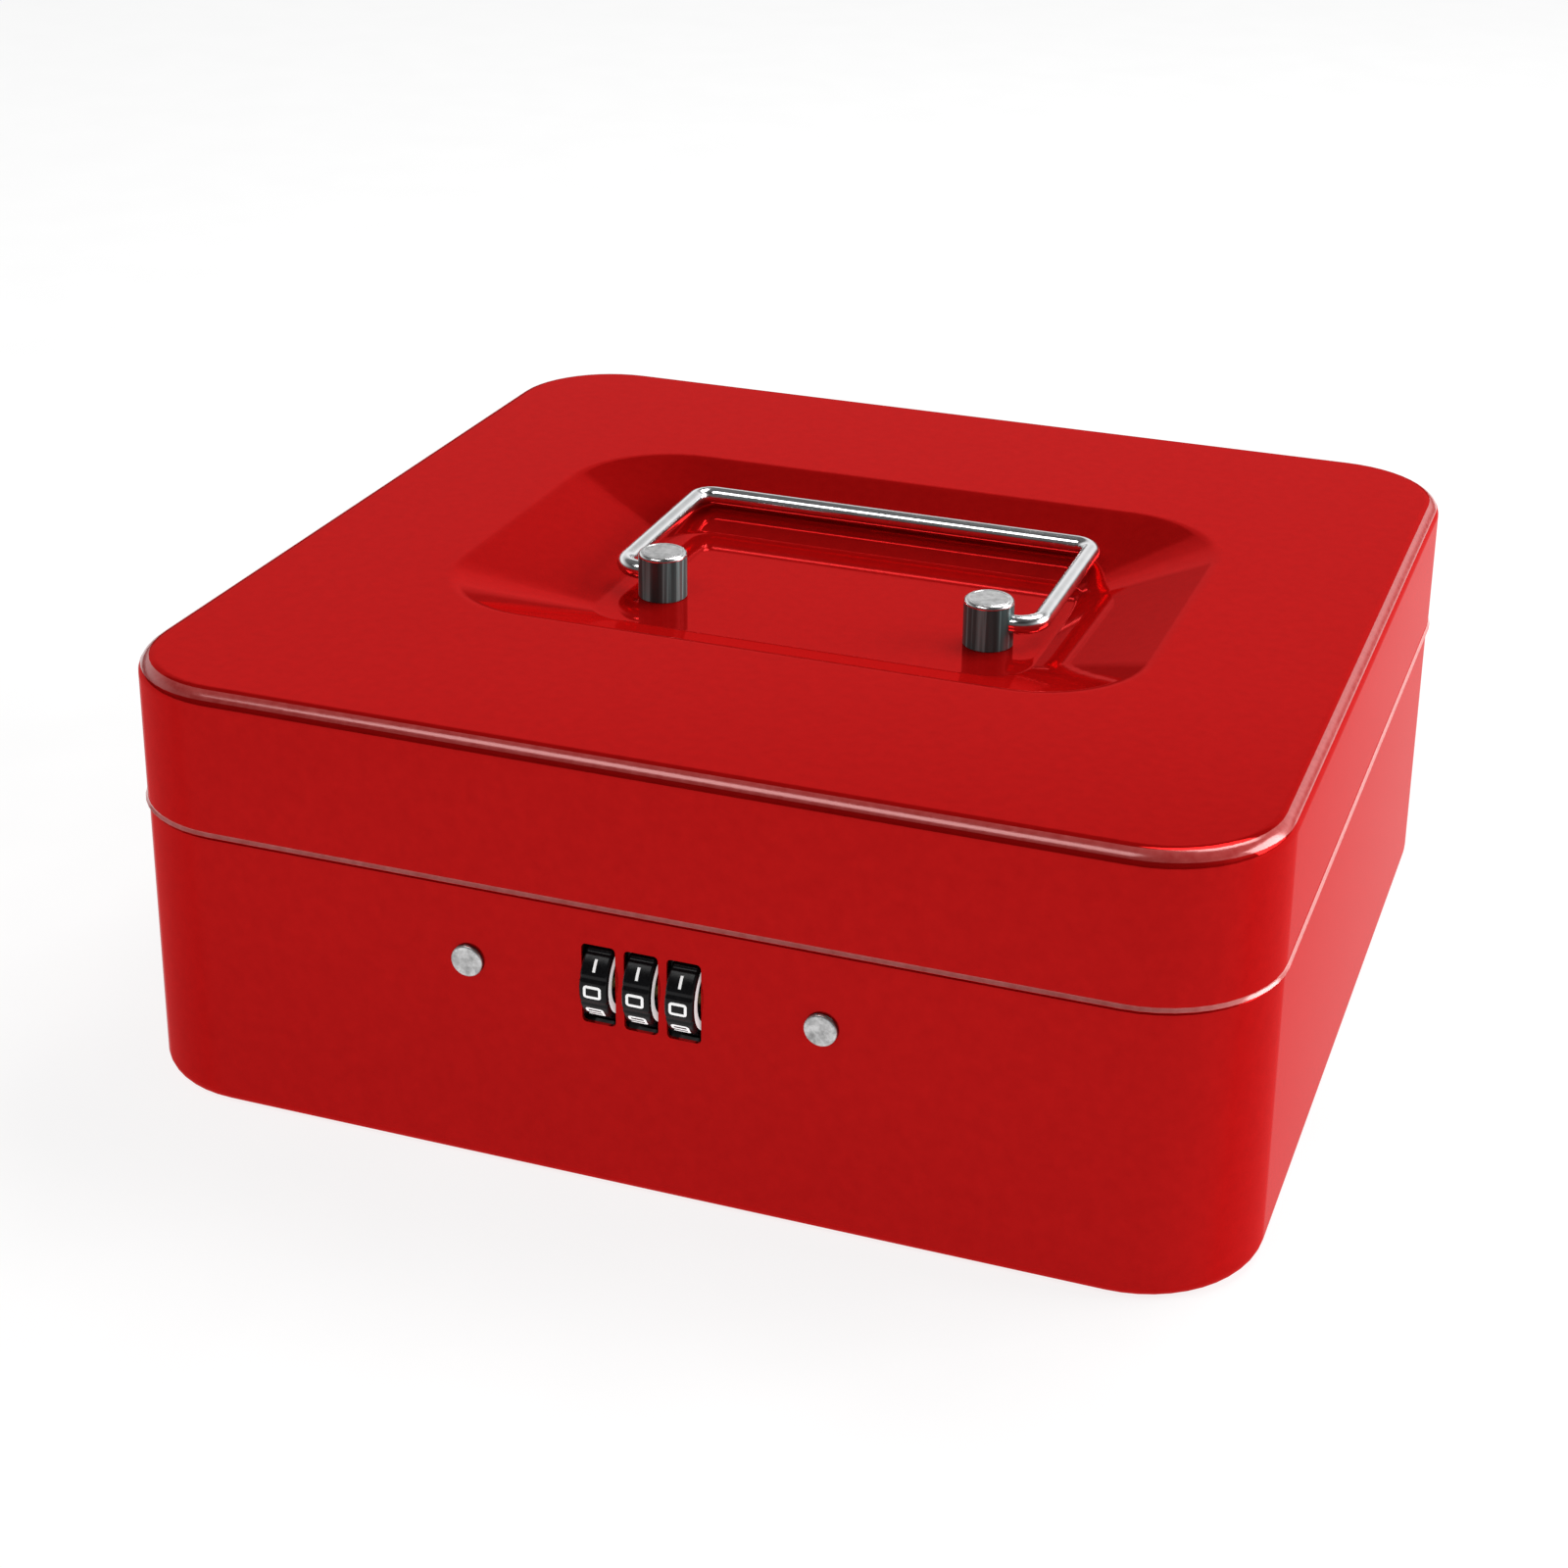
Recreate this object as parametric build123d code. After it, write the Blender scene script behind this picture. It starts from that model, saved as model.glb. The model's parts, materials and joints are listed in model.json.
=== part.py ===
from build123d import *
import os

# Steel cash box with a three-dial combination lock, a folding wire handle in a pressed lid recess
# and a lift-out coin tray. Millimetres. Origin: centre of the footprint, on the surface it stands on.
# +Z is up, the dials face -Y and the lid hinges along the back at +Y.

# Overall size
WIDTH = 230.0
DEPTH = 218.0
HEIGHT = 90.0
CORNER = 25.0
SHEET = 0.8
RIM = 59.5

# Lid and base walls, as insets from the overall outline
SKIRT_INSET = 0.45
BASE_INSET = 0.7
LID_TO_NECK = 0.5
NECK_INSET = SKIRT_INSET + SHEET + LID_TO_NECK
NECK_TOP = 66.0
SEAM_GAP = 0.4
SHOULDER = RIM - SEAM_GAP
HEM = 1.4
TOP_FILLET = 3.6
BOTTOM_FILLET = 3.0

# Pressed recess in the lid
RECESS_FLOOR = 81.0
RECESS_Y = 1.0
RECESS_TOP = (150.0, 104.0, 24.0)
RECESS_BOTTOM = (96.0, 56.0, 9.0)

# Handle
WIRE = 4.0
POST_X = 36.3
POST_D = 10.5
POST_TOP = 91.1
POST_EDGE = 0.85
PIVOT_Y = -10.0
PIVOT_Z = 86.0
ARM_X = 46.5
BAR_Y = 37.5
BAR_Z = 86.8
WIRE_END_X = 34.8
POST_BEND = 5.0
BAR_BEND = 4.0
PIVOT_PLAY = 0.08
SCREW_R = 2.0
SCREW_HEAD_R = 3.4
SCREW_HEAD_T = 1.4
WASHER_R = 4.0
WASHER_T = 0.6

# Lock
FRONT = -(DEPTH / 2 - BASE_INSET)
FRONT_INNER = FRONT + SHEET
DIAL_Z = 43.7
DIAL_R = 8.3
DIAL_PROUD = 3.1
DIAL_W = 5.7
DIAL_BEVEL = 0.45
GROOVE_R = 0.6
GROOVE_DEPTH = 0.25
DIGITS = 10
PITCH = 8.55
WINDOW = (6.8, 16.5)
WINDOW_CORNER = 0.9
AXLE_R = 1.0
AXLE_Y = FRONT - DIAL_PROUD + DIAL_R
SLEEVE_R = 3.1
SLEEVE_END = 5.1
FLAT = 1.4
LOCK_RIVET_X = 35.4
LOCK_RIVET_HEAD = 3.25
LOCK_RIVET_PROUD = 0.9
LOCK_RIVET_SHANK = 1.9
LOCK_RIVET_TAIL = 2.8
LOCK_RIVET_TAIL_T = 1.0
RIVET_EDGE = 0.45
HOUSING_X = 22.0
CAVITY_X = 17.2
HOUSING_Z = 11.9
CAVITY_Z = 10.1
HOUSING_WALL = 1.5
HOUSING_BACK = AXLE_Y + DIAL_R + 1.4
EAR_T = 3.0
EAR_W = 11.0
PLATE_T = 1.0
PLATE_SCREW_X = 19.6
PLATE_SCREW_Z = DIAL_Z + 6.0
PLATE_SCREW_R = 1.1
PLATE_SCREW_HEAD = 2.1
RESET_TRAVEL = 3.0
RESET_STEM = 1.2
DETENT_T = 0.4
SPRING_WIRE_R = 0.2
SPRING_R = 1.7

# Lid catch: three blades that hang between the dials, behind their sleeves
BLADE_X = 4.25
BLADE_T = 1.5
BLADE_SLOT = 2.3
BLADE_Y = (AXLE_Y + 2.0, AXLE_Y + 5.3)
BLADE_LOW = DIAL_Z - 5.2
CATCH_ARM_Z = 69.5
CATCH_T = 1.4
CATCH_X = (-7.5, 16.0)
CATCH_FLANGE_H = 13.0

# Hinges
HINGE_X = 65.0
HINGE_W = 40.0
KNUCKLE_R = 2.0
PIN_R = 1.2
HINGE_Y = -(AXLE_Y - DIAL_R) - KNUCKLE_R
HINGE_Z = RIM - SEAM_GAP / 2
HINGE_RIVET_X = 13.0
HINGE_RIVET_Z = 12.0
HINGE_RIVET_HEAD = 3.0
HINGE_RIVET_PROUD = 0.8
HINGE_RIVET_SHANK = 1.5
HINGE_RIVET_TAIL = 2.6
KNUCKLE_SPLIT = 8.0
KNUCKLE_GAP = 0.25
LEAF_H = 18.0
SLOT_HALF = 2.6
BACK_CUT = (DEPTH / 2 - 3, DEPTH / 2 + 1)

# Coin tray
TRAY_X = 109.0
TRAY_Y = (-86.0, 104.0)
TRAY_LOW = 36.0
TRAY_WALL = 1.5
TRAY_CORNER = 20.0
WELL_CORNER = 8.0
WELL_BOTTOM = 6.0
FLANGE_CORNER = 22.5
FLANGE_T = 1.2
FLANGE_X = 113.3
FLANGE_Y = 105.5
NOTCH_X = 48.0
COINS = 4


def slab(width, depth, radius, low, high, y=0.0):
    """A block with rounded vertical corners, between two heights."""
    return Pos(0, y, low) * extrude(RectangleRounded(width, depth, radius), high - low)


def inset_slab(inset, low, high):
    """The box outline moved inwards, between two heights."""
    return slab(WIDTH - 2 * inset, DEPTH - 2 * inset, CORNER - inset, low, high)


def block(x, y, z):
    """A plain block from three pairs of limits."""
    size = (x[1] - x[0], y[1] - y[0], z[1] - z[0])
    return Pos((x[0] + x[1]) / 2, (y[0] + y[1]) / 2, (z[0] + z[1]) / 2) * Box(*size)


def rod_x(radius, x0, x1, y, z):
    """A cylinder along X."""
    return Pos((x0 + x1) / 2, y, z) * Rot(0, 90, 0) * Cylinder(radius, x1 - x0)


def rod_y(radius, y0, y1, x, z):
    """A cylinder along Y."""
    return Pos(x, (y0 + y1) / 2, z) * Rot(90, 0, 0) * Cylinder(radius, y1 - y0)


def rod_z(radius, z0, z1, x, y):
    """A cylinder along Z."""
    return Pos(x, y, (z0 + z1) / 2) * Cylinder(radius, z1 - z0)


def dial_centres():
    return [-PITCH, 0.0, PITCH]


def hinge_rivet_points(side):
    return [side * HINGE_X - HINGE_RIVET_X, side * HINGE_X + HINGE_RIVET_X]


def hinge_slot(side):
    """Limits along X of the slot that a hinge barrel sits in."""
    half = HINGE_W / 2 + 1
    return (side * HINGE_X - half, side * HINGE_X + half)


# ---------------------------------------------------------------- shells


def base_shell():
    """Deep-drawn bottom box, with a neck stepped inwards that the lid closes over."""
    outer = inset_slab(BASE_INSET, 0, SHOULDER)
    outer = fillet(outer.edges().group_by(Axis.Z)[0], BOTTOM_FILLET)
    inner = inset_slab(BASE_INSET + SHEET, SHEET, SHOULDER - SHEET)
    inner = fillet(inner.edges().group_by(Axis.Z)[0], BOTTOM_FILLET - SHEET)
    neck = inset_slab(NECK_INSET, SHOULDER - SHEET, NECK_TOP)
    mouth = inset_slab(NECK_INSET + SHEET, SHOULDER - SHEET, NECK_TOP)
    shell = outer - inner + neck - mouth
    for x in dial_centres():
        window = RectangleRounded(*WINDOW, WINDOW_CORNER)
        shell -= Pos(x, FRONT + 2, DIAL_Z) * Rot(90, 0, 0) * extrude(window, 4)
    for side in (-1, 1):
        shell -= rod_y(LOCK_RIVET_SHANK, FRONT - 1, FRONT + 2, side * LOCK_RIVET_X, DIAL_Z)
        shell -= block(hinge_slot(side), BACK_CUT, (HINGE_Z - SLOT_HALF, NECK_TOP + 1))
        for x in hinge_rivet_points(side):
            shell -= rod_y(HINGE_RIVET_SHANK, *BACK_CUT, x, HINGE_Z - HINGE_RIVET_Z)
    return shell


def recess(drop):
    """The dished hollow of the handle recess, lowered by drop."""
    top = RectangleRounded(*RECESS_TOP)
    bottom = RectangleRounded(*RECESS_BOTTOM)
    high = Pos(0, RECESS_Y, HEIGHT - drop) * top
    low = Pos(0, RECESS_Y, RECESS_FLOOR - drop) * bottom
    return loft([high, low], ruled=True)


def lid_shell():
    """Pressed lid with a hemmed rim and the handle recess."""
    outer = inset_slab(SKIRT_INSET, RIM, HEIGHT)
    outer = fillet(outer.edges().group_by(Axis.Z)[-1], TOP_FILLET)
    outer += inset_slab(0, RIM, RIM + HEM)
    inner = inset_slab(SKIRT_INSET + SHEET, RIM, HEIGHT - SHEET)
    inner = fillet(inner.edges().group_by(Axis.Z)[-1], TOP_FILLET - SHEET)
    shell = outer - (inner - recess(SHEET)) - recess(0)
    for side in (-1, 1):
        shell -= rod_z(SCREW_R, RECESS_FLOOR - 2, RECESS_FLOOR + 1, side * POST_X, PIVOT_Y)
        shell -= block(hinge_slot(side), BACK_CUT, (RIM - 1, HINGE_Z + SLOT_HALF))
        for x in hinge_rivet_points(side):
            shell -= rod_y(HINGE_RIVET_SHANK, *BACK_CUT, x, HINGE_Z + HINGE_RIVET_Z)
    return shell


# ---------------------------------------------------------------- handle


def handle_post(side):
    """Turned post that the wire pivots in, with a blind cross hole and a tapped foot."""
    post = rod_z(POST_D / 2, RECESS_FLOOR, POST_TOP, side * POST_X, PIVOT_Y)
    post = fillet(post.edges().group_by(Axis.Z)[-1], POST_EDGE)
    ends = sorted((side * (WIRE_END_X - 0.4), side * (POST_X + POST_D)))
    bore = rod_x(WIRE / 2 + PIVOT_PLAY, *ends, PIVOT_Y, PIVOT_Z)
    foot = rod_z(SCREW_R, RECESS_FLOOR - 1, RECESS_FLOOR + 1.8, side * POST_X, PIVOT_Y)
    return post - bore - foot


def post_washers():
    """Flat washers under the recess floor, one for each post screw."""
    high = RECESS_FLOOR - SHEET
    low = high - WASHER_T
    rings = []
    for side in (-1, 1):
        disc = rod_z(WASHER_R, low, high, side * POST_X, PIVOT_Y)
        rings.append(disc - rod_z(SCREW_R, low, high, side * POST_X, PIVOT_Y))
    return Compound(rings)


def post_screws():
    """Pan-head screws that hold the posts from inside the lid."""
    high = RECESS_FLOOR - SHEET - WASHER_T
    low = high - SCREW_HEAD_T
    screws = []
    for side in (-1, 1):
        x = side * POST_X
        head = rod_z(SCREW_HEAD_R, low, high, x, PIVOT_Y)
        head = fillet(head.edges().group_by(Axis.Z)[0], 0.6)
        shank = rod_z(SCREW_R, high, RECESS_FLOOR + 1.6, x, PIVOT_Y)
        slot = block((x - 2.6, x + 2.6), (PIVOT_Y - 0.35, PIVOT_Y + 0.35), (low - 1, low + 0.5))
        screws.append(head + shank - slot)
    return Compound(screws)


def handle_wire():
    """Bent wire bail, lying folded to the back of the recess."""
    points = [(-WIRE_END_X, PIVOT_Y, PIVOT_Z), (-ARM_X, PIVOT_Y, PIVOT_Z), (-ARM_X, BAR_Y, BAR_Z)]
    points += [(-x, y, z) for x, y, z in reversed(points)]
    path = FilletPolyline(*points, radius=[POST_BEND, BAR_BEND, BAR_BEND, POST_BEND])
    start = Plane(origin=path @ 0, z_dir=path % 0)
    return sweep(start * Circle(WIRE / 2), path=path)


# ---------------------------------------------------------------- lock


def lock_housing():
    """Moulded case behind the front wall, open at the back, with an ear for each rivet."""
    y = (FRONT_INNER, HOUSING_BACK)
    z = (DIAL_Z - HOUSING_Z, DIAL_Z + HOUSING_Z)
    body = block((-HOUSING_X, HOUSING_X), y, z)
    ears = RectangleRounded(2 * LOCK_RIVET_X + EAR_W, EAR_W, EAR_W / 2 - 0.1)
    body += Pos(0, FRONT_INNER + EAR_T, DIAL_Z) * Rot(90, 0, 0) * extrude(ears, EAR_T)
    cavity_z = (DIAL_Z - CAVITY_Z, DIAL_Z + CAVITY_Z)
    body -= block((-CAVITY_X, CAVITY_X), (FRONT_INNER + HOUSING_WALL, HOUSING_BACK), cavity_z)
    front = (FRONT_INNER - 1, FRONT_INNER + HOUSING_WALL + 0.1)
    reach = DIAL_R + 0.2
    for x in dial_centres():
        body -= block((x - WINDOW[0] / 2, x + WINDOW[0] / 2), front, (DIAL_Z - reach, DIAL_Z + reach))
        blade = (x + BLADE_X - BLADE_SLOT / 2, x + BLADE_X + BLADE_SLOT / 2)
        body -= block(blade, (BLADE_Y[0] - 1.6, BLADE_Y[1] + 0.6), (DIAL_Z + CAVITY_Z - 0.1, z[1] + 1))
    sleeves = (-PITCH, PITCH + SLEEVE_END + 0.4)
    body -= block(sleeves, front, (DIAL_Z - SLEEVE_R - 0.5, DIAL_Z + SLEEVE_R + 0.5))
    body -= rod_x(AXLE_R, -HOUSING_X + 2, HOUSING_X - 2, AXLE_Y, DIAL_Z)
    for side in (-1, 1):
        ear_end = FRONT_INNER + EAR_T + 1
        body -= rod_y(LOCK_RIVET_SHANK, FRONT_INNER - 1, ear_end, side * LOCK_RIVET_X, DIAL_Z)
        screw = (HOUSING_BACK - 7, HOUSING_BACK + 1)
        body -= rod_y(PLATE_SCREW_R, *screw, side * PLATE_SCREW_X, PLATE_SCREW_Z)
    return body


def lock_back_plate():
    """Steel cover of the lock case, with the slot that the code lever moves in."""
    y = (HOUSING_BACK, HOUSING_BACK + PLATE_T)
    plate = block((-HOUSING_X, HOUSING_X), y, (DIAL_Z - HOUSING_Z, DIAL_Z + HOUSING_Z))
    plate = fillet(plate.edges().filter_by(Axis.Y), 1.5)
    deep = (y[0] - 1, y[1] + 1)
    half = RESET_STEM + 0.4
    plate -= block((-half, half + RESET_TRAVEL), deep, (DIAL_Z - half, DIAL_Z + half))
    for side in (-1, 1):
        plate -= rod_y(PLATE_SCREW_R, *deep, side * PLATE_SCREW_X, PLATE_SCREW_Z)
    return plate


def back_plate_screws():
    """Two small screws that close the lock case."""
    face = HOUSING_BACK + PLATE_T
    screws = []
    for side in (-1, 1):
        x = side * PLATE_SCREW_X
        head = rod_y(PLATE_SCREW_HEAD, face, face + 1.3, x, PLATE_SCREW_Z)
        head = fillet(head.edges().group_by(Axis.Y)[-1], 0.5)
        shank = rod_y(PLATE_SCREW_R, HOUSING_BACK - 6.5, face, x, PLATE_SCREW_Z)
        slot_z = (PLATE_SCREW_Z - 0.3, PLATE_SCREW_Z + 0.3)
        slot = block((x - 1.6, x + 1.6), (face + 0.7, face + 2), slot_z)
        screws.append(head + shank - slot)
    return Compound(screws)


def lock_rivets():
    """Flat-headed rivets that hold the lock case to the front wall."""
    rivets = []
    tail = FRONT_INNER + EAR_T
    for side in (-1, 1):
        x = side * LOCK_RIVET_X
        head = rod_y(LOCK_RIVET_HEAD, FRONT - LOCK_RIVET_PROUD, FRONT, x, DIAL_Z)
        head = fillet(head.edges().group_by(Axis.Y)[0], RIVET_EDGE)
        shank = rod_y(LOCK_RIVET_SHANK, FRONT, tail, x, DIAL_Z)
        closed = rod_y(LOCK_RIVET_TAIL, tail, tail + LOCK_RIVET_TAIL_T, x, DIAL_Z)
        rivets.append(head + shank + closed)
    return Compound(rivets)


def dial_axle():
    """Steel rod that the dials turn on."""
    return rod_x(AXLE_R, -HOUSING_X + 2, HOUSING_X - 2, AXLE_Y, DIAL_Z)


def dial_wheel(x):
    """Number wheel with ten finger grooves, one between each two digits."""
    wheel = rod_x(DIAL_R, x - DIAL_W / 2, x + DIAL_W / 2, AXLE_Y, DIAL_Z)
    wheel = chamfer(wheel.edges().filter_by(GeomType.CIRCLE), DIAL_BEVEL)
    groove_z = DIAL_R + GROOVE_R - GROOVE_DEPTH
    groove = Pos(x, 0, groove_z) * Rot(0, 90, 0) * Cylinder(GROOVE_R, DIAL_W + 1)
    for step in range(DIGITS):
        wheel -= Pos(0, AXLE_Y, DIAL_Z) * Rot(360 * step / DIGITS, 0, 0) * groove
    return wheel - rod_x(SLEEVE_R, x - DIAL_W, x + DIAL_W, AXLE_Y, DIAL_Z)


def code_sleeve(x):
    """Sleeve inside a wheel. Its flat faces the catch blade when the wheel shows the code."""
    start = x - DIAL_W / 2
    sleeve = rod_x(SLEEVE_R, start, x + SLEEVE_END, AXLE_Y, DIAL_Z)
    sleeve -= rod_x(AXLE_R + 0.05, start - 1, x + SLEEVE_END + 1, AXLE_Y, DIAL_Z)
    flat = (AXLE_Y + FLAT, AXLE_Y + DIAL_R)
    gate = (x + DIAL_W / 2 + 0.2, x + SLEEVE_END + 1)
    return sleeve - block(gate, flat, (DIAL_Z - DIAL_R, DIAL_Z + DIAL_R))


def sleeve_spring():
    """Coil spring on the axle, which keeps the sleeves pushed into the wheels."""
    start = PITCH + SLEEVE_END + 0.3
    length = CAVITY_X - start - 0.4
    path = Helix(pitch=length / 3, height=length - 2 * SPRING_WIRE_R, radius=SPRING_R)
    section = Plane(origin=path @ 0, z_dir=path % 0) * Circle(SPRING_WIRE_R)
    coil = sweep(section, path=path, is_frenet=True)
    return Pos(start + 0.4, AXLE_Y, DIAL_Z) * Rot(0, 90, 0) * coil


def detent_spring():
    """Leaf spring on the floor of the lock case, with one finger under each wheel."""
    floor = DIAL_Z - CAVITY_Z
    leaf = block((-12.5, 12.5), (AXLE_Y + 4, AXLE_Y + 8.2), (floor, floor + DETENT_T))
    for x in dial_centres():
        root = Pos(x, AXLE_Y + 4.5, floor + DETENT_T / 2)
        leaf += root * Rot(-9, 0, 0) * Pos(0, -2.9, 0) * Box(4, 6, DETENT_T)
    return leaf


def reset_lever():
    """Code lever: a knob behind the back plate, joined through the slot to a foot inside."""
    face = HOUSING_BACK + PLATE_T
    inside = HOUSING_BACK - 1.2
    foot = block((-3, 3), (inside, HOUSING_BACK - 0.35), (DIAL_Z - 3, DIAL_Z + 3))
    stem_z = (DIAL_Z - RESET_STEM, DIAL_Z + RESET_STEM)
    stem = block((-RESET_STEM, RESET_STEM), (inside, face + 2), stem_z)
    knob = block((-2.5, 2.5), (face + 0.4, face + 3), (DIAL_Z - 3.5, DIAL_Z + 3.5))
    knob = fillet(knob.edges().group_by(Axis.Y)[-1], 0.7)
    return foot + stem + knob


def lid_catch():
    """Catch welded inside the lid: a flange, an arm over the neck and three notched blades."""
    inner = -(DEPTH / 2 - SKIRT_INSET - SHEET)
    catch = block(CATCH_X, (inner, inner + CATCH_T), (CATCH_ARM_Z, CATCH_ARM_Z + CATCH_FLANGE_H))
    catch += block(CATCH_X, (inner, BLADE_Y[1]), (CATCH_ARM_Z, CATCH_ARM_Z + CATCH_T))
    for centre in dial_centres():
        blade_x = (centre + BLADE_X - BLADE_T / 2, centre + BLADE_X + BLADE_T / 2)
        catch += block(blade_x, BLADE_Y, (BLADE_LOW, CATCH_ARM_Z + CATCH_T))
    return catch - rod_x(SLEEVE_R + 0.4, *CATCH_X, AXLE_Y, DIAL_Z)


# ---------------------------------------------------------------- hinges


def knuckle(x, x0, x1):
    """One rolled stretch of hinge barrel, between two places along the hinge at x."""
    barrel = rod_x(KNUCKLE_R, x + x0, x + x1, HINGE_Y, HINGE_Z)
    return barrel - rod_x(PIN_R, x + x0 - 1, x + x1 + 1, HINGE_Y, HINGE_Z)


def hinge_base_leaf(side):
    """Leaf inside the back wall of the base, with the middle knuckle."""
    x = side * HINGE_X
    wall = DEPTH / 2 - BASE_INSET - SHEET
    y = (wall - SHEET, wall)
    split = KNUCKLE_SPLIT - KNUCKLE_GAP
    tongue = (x - split, x + split)
    bend = HINGE_Z - KNUCKLE_R
    leaf = block((x - HINGE_W / 2, x + HINGE_W / 2), y, (HINGE_Z - LEAF_H, HINGE_Z - SLOT_HALF))
    leaf += block(tongue, y, (HINGE_Z - SLOT_HALF, bend + SHEET))
    leaf += block(tongue, (y[0], HINGE_Y), (bend, bend + SHEET))
    leaf += knuckle(x, -split, split)
    leaf -= rod_x(PIN_R, x - HINGE_W, x + HINGE_W, HINGE_Y, HINGE_Z)
    for rivet_x in hinge_rivet_points(side):
        leaf -= rod_y(HINGE_RIVET_SHANK, y[0] - 1, y[1] + 1, rivet_x, HINGE_Z - HINGE_RIVET_Z)
    return leaf


def hinge_lid_leaf(side):
    """Leaf inside the back of the lid, with the two outer knuckles."""
    x = side * HINGE_X
    wall = DEPTH / 2 - SKIRT_INSET - SHEET
    y = (wall - SHEET, wall)
    half = HINGE_W / 2
    split = KNUCKLE_SPLIT + KNUCKLE_GAP
    bend = HINGE_Z + KNUCKLE_R
    leaf = block((x - half, x + half), y, (HINGE_Z + SLOT_HALF, HINGE_Z + LEAF_H))
    for x0, x1 in ((-half, -split), (split, half)):
        tongue = (x + x0, x + x1)
        leaf += block(tongue, y, (bend - SHEET, HINGE_Z + SLOT_HALF))
        leaf += block(tongue, (y[0], HINGE_Y), (bend - SHEET, bend))
        leaf += knuckle(x, x0, x1)
    leaf -= rod_x(PIN_R + 0.05, x - HINGE_W, x + HINGE_W, HINGE_Y, HINGE_Z)
    for rivet_x in hinge_rivet_points(side):
        leaf -= rod_y(HINGE_RIVET_SHANK, y[0] - 1, y[1] + 1, rivet_x, HINGE_Z + HINGE_RIVET_Z)
    return leaf


def hinge_pin(side):
    """Pin held in the middle knuckle. The lid's knuckles turn on its ends."""
    half = HINGE_W / 2
    return rod_x(PIN_R, side * HINGE_X - half, side * HINGE_X + half, HINGE_Y, HINGE_Z)


def hinge_rivets(inset, z):
    """Four flat-headed rivets through the back wall and the hinge leaves."""
    outer = DEPTH / 2 - inset
    inner = outer - 2 * SHEET
    rivets = []
    for side in (-1, 1):
        for x in hinge_rivet_points(side):
            head = rod_y(HINGE_RIVET_HEAD, outer, outer + HINGE_RIVET_PROUD, x, z)
            head = fillet(head.edges().group_by(Axis.Y)[-1], RIVET_EDGE)
            tail = rod_y(HINGE_RIVET_TAIL, inner - HINGE_RIVET_PROUD, inner, x, z)
            rivets.append(head + rod_y(HINGE_RIVET_SHANK, inner, outer, x, z) + tail)
    return Compound(rivets)


# ---------------------------------------------------------------- tray


def tray_outline(wall, low, high):
    """The tray's rounded outline moved inwards by wall, between two heights."""
    depth = TRAY_Y[1] - TRAY_Y[0] - 2 * wall
    middle = (TRAY_Y[0] + TRAY_Y[1]) / 2
    return slab(2 * (TRAY_X - wall), depth, TRAY_CORNER - wall, low, high, y=middle)


def well(x0, x1, y0, y1):
    """The hollow of one tray compartment, with a rounded bottom."""
    floor = TRAY_LOW + TRAY_WALL
    high = NECK_TOP + FLANGE_T
    hollow = Pos((x0 + x1) / 2, (y0 + y1) / 2, 0) * slab(x1 - x0, y1 - y0, WELL_CORNER, floor, high)
    hollow = hollow & tray_outline(TRAY_WALL, floor, high)
    return fillet(hollow.edges().group_by(Axis.Z)[0], WELL_BOTTOM)


def coin_tray():
    """Moulded tray with a rim that hangs on the neck: coin wells in front, a long note well behind."""
    tray = tray_outline(0, TRAY_LOW, NECK_TOP)
    tray += slab(2 * FLANGE_X, 2 * FLANGE_Y, FLANGE_CORNER, NECK_TOP, NECK_TOP + FLANGE_T)
    notch_y = (-FLANGE_Y - 1, TRAY_Y[0])
    tray -= block((-NOTCH_X, NOTCH_X), notch_y, (NECK_TOP - 1, NECK_TOP + FLANGE_T + 1))
    inside = TRAY_X - TRAY_WALL
    front = TRAY_Y[0] + TRAY_WALL
    span = (2 * inside + TRAY_WALL) / COINS
    for number in range(COINS):
        x0 = -inside + number * span
        tray -= well(x0, x0 + span - TRAY_WALL, front, 0)
    return tray - well(-inside, inside, TRAY_WALL, TRAY_Y[1] - TRAY_WALL)


def write(name, shape):
    shape.label = name
    export_step(shape, os.path.join("parts", name + ".step"))


os.makedirs("parts", exist_ok=True)
write("base_shell", base_shell())
write("lid_shell", lid_shell())
write("handle_wire", handle_wire())
write("post_washers", post_washers())
write("post_screws", post_screws())
write("lock_housing", lock_housing())
write("lock_back_plate", lock_back_plate())
write("back_plate_screws", back_plate_screws())
write("lock_rivets", lock_rivets())
write("dial_axle", dial_axle())
write("sleeve_spring", sleeve_spring())
write("detent_spring", detent_spring())
write("reset_lever", reset_lever())
write("lid_catch", lid_catch())
write("hinge_base_rivets", hinge_rivets(BASE_INSET, HINGE_Z - HINGE_RIVET_Z))
write("hinge_lid_rivets", hinge_rivets(SKIRT_INSET, HINGE_Z + HINGE_RIVET_Z))
write("coin_tray", coin_tray())
for place, centre in enumerate(dial_centres(), start=1):
    write(f"dial_wheel_{place}", dial_wheel(centre))
    write(f"code_sleeve_{place}", code_sleeve(centre))
for label, hand in (("left", -1), ("right", 1)):
    write("handle_post_" + label, handle_post(hand))
    write("hinge_base_leaf_" + label, hinge_base_leaf(hand))
    write("hinge_lid_leaf_" + label, hinge_lid_leaf(hand))
    write("hinge_pin_" + label, hinge_pin(hand))
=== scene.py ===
import bpy
import bmesh
import json
import math
from mathutils import Matrix, Vector


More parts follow.
